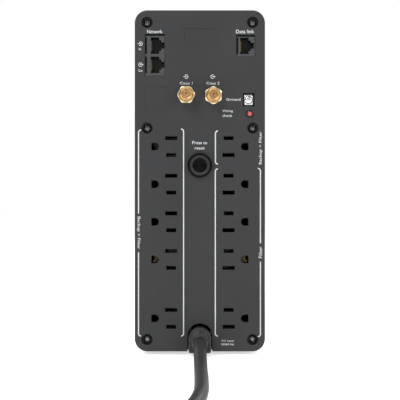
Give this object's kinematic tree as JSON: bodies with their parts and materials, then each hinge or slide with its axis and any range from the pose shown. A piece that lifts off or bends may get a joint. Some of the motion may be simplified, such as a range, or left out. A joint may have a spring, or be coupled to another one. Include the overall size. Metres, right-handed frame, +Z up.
{
  "type": "tower uninterruptible power supply",
  "caption": "Tower uninterruptible power supply with outlet columns, network, data and coaxial sockets, a resettable breaker, a display side, batteries, a transformer and a coiled mains cord.",
  "frame": {"origin": "middle of the footprint, without the mains cord, on the surface that the feet stand on", "axes": "+Z up; -Y out of the outlet side; +Y out of the display side; +X to the right for someone facing the outlet side"},
  "size_m": [0.1378, 0.8426, 0.2601],
  "materials": {
    "panel_plastic": "fine-grained charcoal ABS, satin",
    "case_plastic": "fine-grained black ABS, satin",
    "bezel_plastic": "black ABS, semi-gloss",
    "window": "smoked clear cover",
    "lcd": "liquid crystal panel with a grey frame",
    "button_plastic": "black caps with a soft sheen",
    "rubber": "matt black rubber",
    "screw_steel": "black-zinc plated steel",
    "black_plastic": "moulded black nylon",
    "contact_brass": "stamped brass",
    "gold_contact": "gold-flashed contacts",
    "circuit_board": "green solder mask over glass laminate",
    "coax_gold": "gold-plated brass, bright",
    "nickel": "bright nickel plate",
    "red_lens": "clear red epoxy lens",
    "breaker_grey": "grey moulded face",
    "cord_pvc": "black PVC jacket, soft sheen",
    "boot_pvc": "black moulded PVC",
    "tie_fabric": "woven hook-and-loop strap",
    "plug_metal": "nickel-brass blades",
    "battery_plastic": "battery case ABS",
    "foam": "closed-cell foam",
    "lamination": "varnished steel laminations",
    "winding": "taped and varnished windings",
    "zinc_steel": "zinc-plated steel",
    "aluminium": "plain extruded aluminium",
    "component_black": "black epoxy and sleeves",
    "relay_plastic": "blue relay cases",
    "wire_red": "red wire insulation",
    "wire_black": "black wire insulation"
  },
  "bodies": {
    "case": {"rear_panel": "panel_plastic", "left_shell": "case_plastic", "right_shell": "case_plastic", "front_bezel": "bezel_plastic", "display_window": "window", "lcd_module": "lcd", "display_board": "circuit_board", "display_screws": "screw_steel", "tact_switches": "component_black", "rubber_feet": "rubber", "panel_screws": "screw_steel", "outlet_inserts_left": "black_plastic", "outlet_inserts_right": "black_plastic", "hot_contacts": "contact_brass", "neutral_contacts": "contact_brass", "ground_contacts": "contact_brass", "network_jacks": "black_plastic", "jack_contacts": "gold_contact", "data_port": "black_plastic", "network_board": "circuit_board", "coax_connectors": "coax_gold", "coax_nuts": "coax_gold", "ground_terminal_cup": "black_plastic", "fault_led": "red_lens", "led_holder": "black_plastic", "breaker_body": "breaker_grey", "breaker_nut": "black_plastic", "strain_relief": "boot_pvc", "power_cord": "cord_pvc", "power_cord_coil": "cord_pvc", "coil_tie": "tie_fabric", "plug_body": "boot_pvc", "plug_blades": "plug_metal", "battery_lower": "battery_plastic", "battery_upper": "battery_plastic", "battery_terminals": "contact_brass", "battery_spacer": "foam", "transformer_core": "lamination", "transformer_windings": "winding", "transformer_bracket": "zinc_steel", "transformer_screws": "screw_steel", "main_board": "circuit_board", "board_screws": "screw_steel", "heat_sinks": "aluminium", "power_transistors": "component_black", "capacitors": "component_black", "relays": "relay_plastic", "line_choke": "winding", "buzzer": "component_black", "battery_lead_red": "wire_red", "battery_lead_black": "wire_black", "battery_link": "wire_black", "mains_wires": "wire_black"},
    "battery_cover": {"battery_cover": "case_plastic"},
    "power_button": {"power_button": "button_plastic"},
    "menu_button": {"menu_button": "button_plastic"},
    "mute_button": {"mute_button": "button_plastic"},
    "breaker_button": {"breaker_button": "component_black"},
    "ground_clamp": {"ground_clamp_plate": "nickel"},
    "ground_screw": {"ground_screw": "nickel"}
  },
  "joints": [
    {"name": "battery_cover_slide", "type": "slide", "parent": "case", "child": "battery_cover", "axis": [0, -1, 0], "range_m": [0, 0.008]},
    {"name": "power_button_press", "type": "slide", "parent": "case", "child": "power_button", "axis": [0, -1, 0], "range_m": [0, 0.0012], "stiffness_N_per_m": 1500, "springref_m": -0.0006},
    {"name": "menu_button_press", "type": "slide", "parent": "case", "child": "menu_button", "axis": [0, -1, 0], "range_m": [0, 0.0012], "stiffness_N_per_m": 1500, "springref_m": -0.0006},
    {"name": "mute_button_press", "type": "slide", "parent": "case", "child": "mute_button", "axis": [0, -1, 0], "range_m": [0, 0.0012], "stiffness_N_per_m": 1500, "springref_m": -0.0006},
    {"name": "breaker_button_pop", "type": "slide", "parent": "case", "child": "breaker_button", "axis": [0, -1, 0], "range_m": [0, 0.004]},
    {"name": "ground_clamp_lift", "type": "slide", "parent": "case", "child": "ground_clamp", "axis": [0, -1, 0], "range_m": [0, 0.002]},
    {"name": "ground_screw_turn", "type": "hinge", "parent": "ground_clamp", "child": "ground_screw", "pos_m": [0.0367, -0.1805, 0.1918], "axis": [0, -1, 0], "range_deg": [0, 1029.6]}
  ],
  "couplings": [
    {"joint": "ground_screw_turn", "follows": "ground_clamp_lift", "rad_per_m": 8976}
  ]
}
